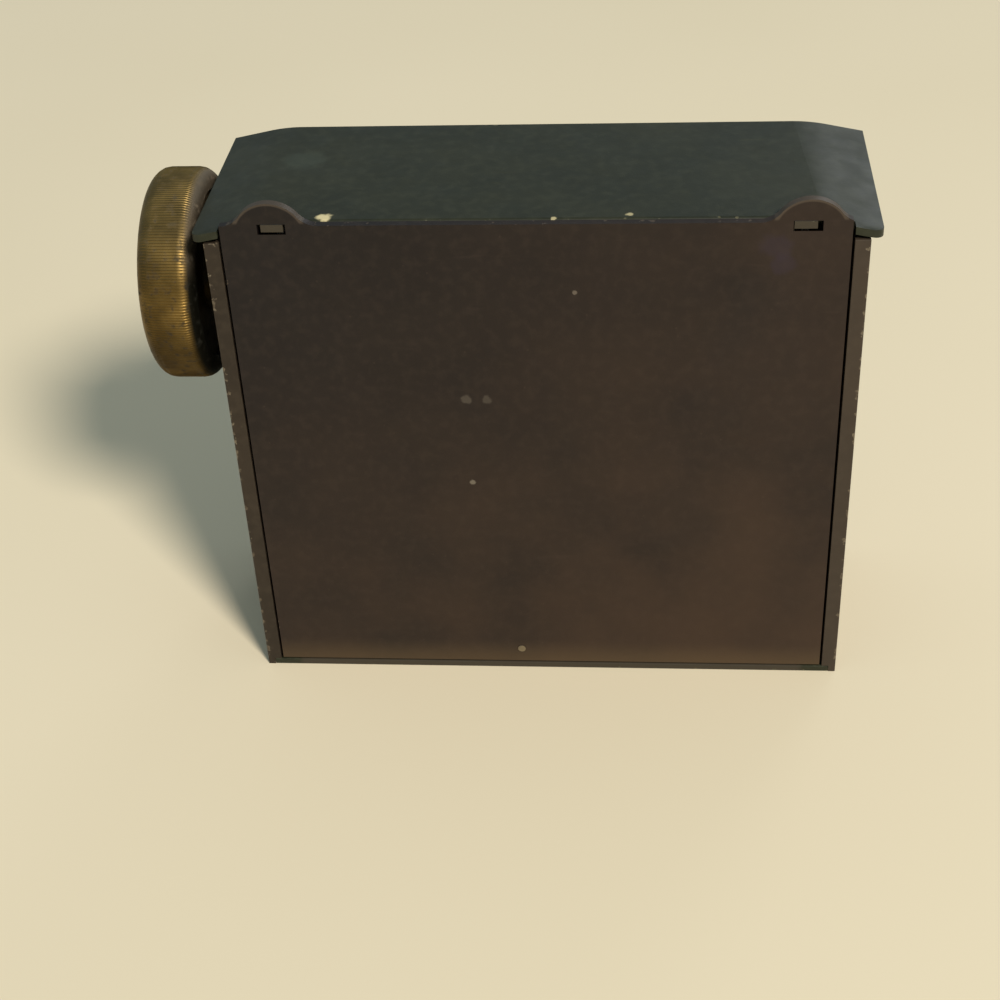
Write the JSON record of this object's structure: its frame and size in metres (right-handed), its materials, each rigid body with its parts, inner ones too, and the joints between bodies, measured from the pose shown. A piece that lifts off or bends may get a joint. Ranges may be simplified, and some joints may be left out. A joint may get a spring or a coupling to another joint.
{
  "type": "pop up telephone index",
  "caption": "Flat sheet metal telephone index case with a knurled side knob, letter window, release button, hinged base plate and a stack of tabbed leaves.",
  "frame": {"origin": "centre of the front wall's outer face, on which the case stands in the picture", "axes": "+X across the width, away from the knob; +Y from the base plate to the top panel; +Z from the front end up to the hinge end. On a desk in use the case lies on its base plate, with -Y down."},
  "size_m": [0.0845, 0.0296, 0.0666],
  "materials": {
    "green_paint": "satin stoved paint, worn at the edges",
    "brown_paint": "semi matte brown lacquer, scuffed",
    "edge_paint": "brown lacquer worn and chipped",
    "old_brass": "turned brass with a dull patina",
    "bright_brass": "clean turned brass",
    "steel": "plated steel",
    "spring_steel": "blued spring steel",
    "lens": "clear celluloid",
    "mask": "matt black",
    "celluloid": "ivory celluloid",
    "card": "aged index card"
  },
  "bodies": {
    "case": {"cover_shell": "green_paint", "front_wall": "green_paint", "side_wall_left": "edge_paint", "side_wall_right": "edge_paint", "window_bezel": "old_brass", "window_lens": "lens", "window_mask": "mask", "bezel_screws": "bright_brass", "bush_left": "bright_brass", "bush_right": "bright_brass", "rod_brackets": "steel", "leaf_rod": "steel", "slide_guide": "steel", "guide_rivets": "steel", "detent_spring": "spring_steel", "idler_pin": "steel", "latch_bracket": "steel", "latch_pin": "steel", "latch_spring": "spring_steel", "spring_lug": "steel"},
    "base": {"base_plate": "brown_paint", "latch_catch": "steel", "catch_rivet": "steel", "spring_foot": "spring_steel", "spring_rivet": "steel"},
    "lift_blade": {"lift_spring": "spring_steel"},
    "dial": {"knob": "old_brass", "knob_screw": "steel", "shaft": "steel", "letter_drum": "celluloid", "drive_pinion": "bright_brass", "star_wheel": "bright_brass", "end_clip": "steel"},
    "idler": {"idler_gear": "bright_brass"},
    "slide": {"rack_slide": "steel"},
    "button": {"release_button": "old_brass"},
    "hook": {"latch_hook": "steel"},
    "index_leaf_1": {"leaf_1": "card"},
    "index_leaf_2": {"leaf_2": "card"},
    "index_leaf_3": {"leaf_3": "card"},
    "index_leaf_4": {"leaf_4": "card"},
    "index_leaf_5": {"leaf_5": "card"},
    "index_leaf_6": {"leaf_6": "card"},
    "index_leaf_7": {"leaf_7": "card"},
    "index_leaf_8": {"leaf_8": "card"}
  },
  "joints": [
    {"name": "pop_up", "type": "hinge", "parent": "case", "child": "base", "pos_m": [0, -0.0118, 0.06355], "axis": [-1, 0, 0], "range_deg": [0, 55]},
    {"name": "lift_spring_flex", "type": "hinge", "parent": "base", "child": "lift_blade", "pos_m": [0, -0.01205, 0.051], "axis": [1, 0, 0], "range_deg": [0, 11.1]},
    {"name": "letter_knob", "type": "hinge", "parent": "case", "child": "dial", "pos_m": [0, 0, 0.0511], "axis": [1, 0, 0], "range_deg": [0, 220]},
    {"name": "idler_spin", "type": "hinge", "parent": "case", "child": "idler", "pos_m": [0, 0, 0.0391], "axis": [1, 0, 0], "range_deg": [-146.8, 0]},
    {"name": "finger_slide", "type": "slide", "parent": "case", "child": "slide", "axis": [0, 0, 1], "range_m": [0, 0.01845]},
    {"name": "button_press", "type": "slide", "parent": "case", "child": "button", "axis": [0, -1, 0], "range_m": [0, 0.001], "stiffness_N_per_m": 400},
    {"name": "hook_swing", "type": "hinge", "parent": "case", "child": "hook", "pos_m": [0, 0.006, 0.0094], "axis": [-1, 0, 0], "range_deg": [0, 19.2]},
    {"name": "leaf_1_turn", "type": "hinge", "parent": "case", "child": "index_leaf_1", "pos_m": [0, -0.01062, 0.0606], "axis": [-1, 0, 0], "range_deg": [0, 56.75]},
    {"name": "leaf_2_turn", "type": "hinge", "parent": "case", "child": "index_leaf_2", "pos_m": [0, -0.01062, 0.0606], "axis": [-1, 0, 0], "range_deg": [0, 53.45]},
    {"name": "leaf_3_turn", "type": "hinge", "parent": "case", "child": "index_leaf_3", "pos_m": [0, -0.01062, 0.0606], "axis": [-1, 0, 0], "range_deg": [0, 49.6]},
    {"name": "leaf_4_turn", "type": "hinge", "parent": "case", "child": "index_leaf_4", "pos_m": [0, -0.01062, 0.0606], "axis": [-1, 0, 0], "range_deg": [0, 45.2]},
    {"name": "leaf_5_turn", "type": "hinge", "parent": "case", "child": "index_leaf_5", "pos_m": [0, -0.01062, 0.0606], "axis": [-1, 0, 0], "range_deg": [0, 1.09]},
    {"name": "leaf_6_turn", "type": "hinge", "parent": "case", "child": "index_leaf_6", "pos_m": [0, -0.01062, 0.0606], "axis": [-1, 0, 0], "range_deg": [0, 0.815]},
    {"name": "leaf_7_turn", "type": "hinge", "parent": "case", "child": "index_leaf_7", "pos_m": [0, -0.01062, 0.0606], "axis": [-1, 0, 0], "range_deg": [0, 0.595]},
    {"name": "leaf_8_turn", "type": "hinge", "parent": "case", "child": "index_leaf_8", "pos_m": [0, -0.01062, 0.0606], "axis": [-1, 0, 0], "range_deg": [0, 0.375]}
  ],
  "couplings": [
    {"joint": "lift_spring_flex", "follows": "pop_up", "ratio": 0.2},
    {"joint": "idler_spin", "follows": "letter_knob", "ratio": -0.66667},
    {"joint": "finger_slide", "follows": "letter_knob", "m_per_rad": 0.0048},
    {"joint": "hook_swing", "follows": "button_press", "rad_per_m": 333.33},
    {"joint": "leaf_1_turn", "follows": "pop_up", "ratio": 1.03},
    {"joint": "leaf_2_turn", "follows": "pop_up", "ratio": 0.97},
    {"joint": "leaf_3_turn", "follows": "pop_up", "ratio": 0.9},
    {"joint": "leaf_4_turn", "follows": "pop_up", "ratio": 0.82},
    {"joint": "leaf_5_turn", "follows": "pop_up", "ratio": 0.018},
    {"joint": "leaf_6_turn", "follows": "pop_up", "ratio": 0.013},
    {"joint": "leaf_7_turn", "follows": "pop_up", "ratio": 0.009},
    {"joint": "leaf_8_turn", "follows": "pop_up", "ratio": 0.005}
  ]
}
